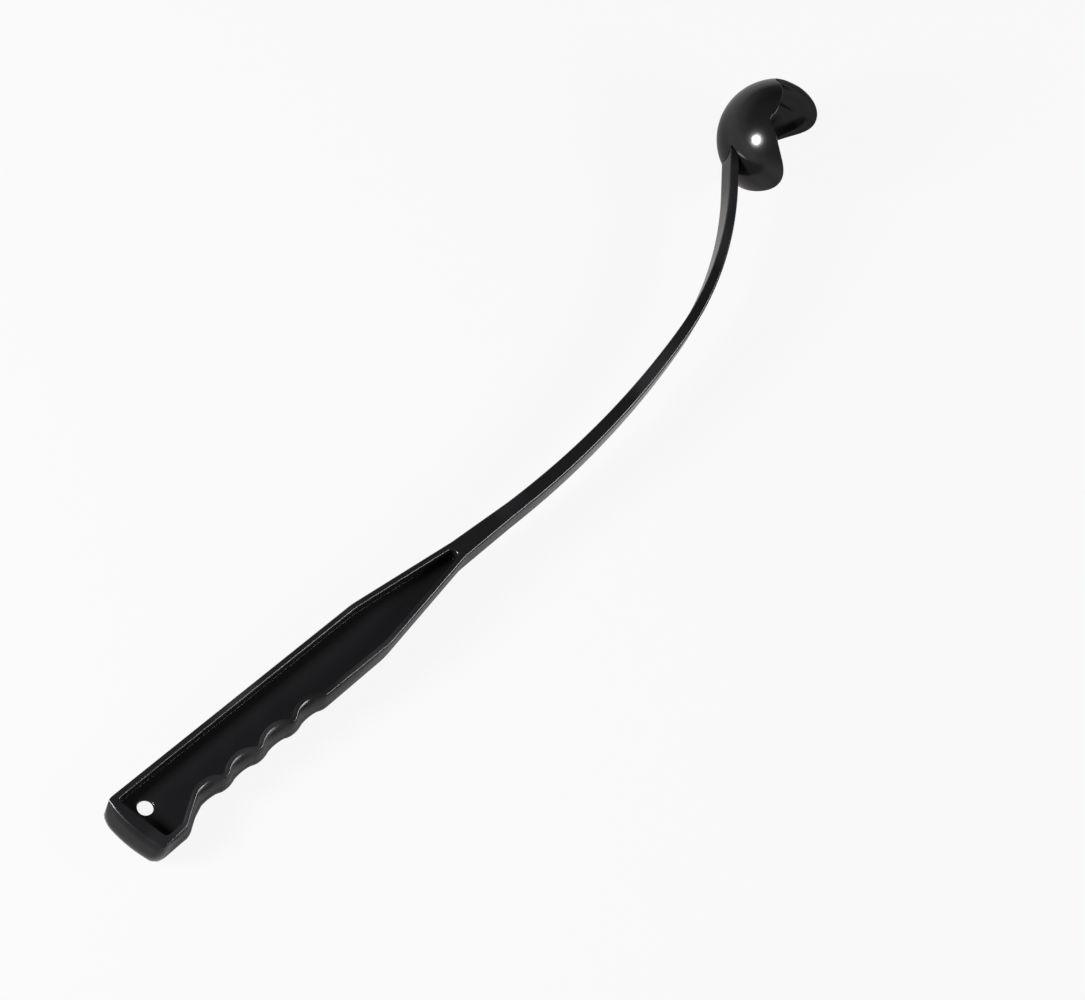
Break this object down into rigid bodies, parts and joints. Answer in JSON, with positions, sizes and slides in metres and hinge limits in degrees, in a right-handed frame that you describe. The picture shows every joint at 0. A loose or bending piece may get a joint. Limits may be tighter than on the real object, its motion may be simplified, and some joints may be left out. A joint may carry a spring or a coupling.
{
  "type": "dog ball launcher stick",
  "caption": "Long curved throwing stick with a finger-grooved ribbed grip, a springy arm and a split round cup that snaps over a ball to pick it up and throw it.",
  "frame": {"origin": "centre of the hang hole in the grip, in the middle of the web", "axes": "+X along the grip towards the cup, +Y towards the smooth back edge of the grip, +Z across the swing plane"},
  "size_m": [0.6111, 0.1308, 0.0654],
  "materials": {
    "moulded_plastic": "satin moulded black plastic"
  },
  "bodies": {
    "grip": {"grip_rim": "moulded_plastic", "grip_web": "moulded_plastic", "neck": "moulded_plastic"},
    "arm": {"arm": "moulded_plastic", "lower_jaw": "moulded_plastic"},
    "jaw": {"upper_jaw": "moulded_plastic"}
  },
  "joints": [
    {"name": "arm_whip", "type": "hinge", "parent": "grip", "child": "arm", "pos_m": [0.26199, -0.0006, 0], "axis": [0, 0, 1], "range_deg": [-10, 10], "stiffness_Nm_per_rad": 6},
    {"name": "upper_jaw_flex", "type": "hinge", "parent": "arm", "child": "jaw", "pos_m": [0.54778, 0.10598, 0], "axis": [0, 0, 1], "range_deg": [0, 8], "stiffness_Nm_per_rad": 5}
  ]
}
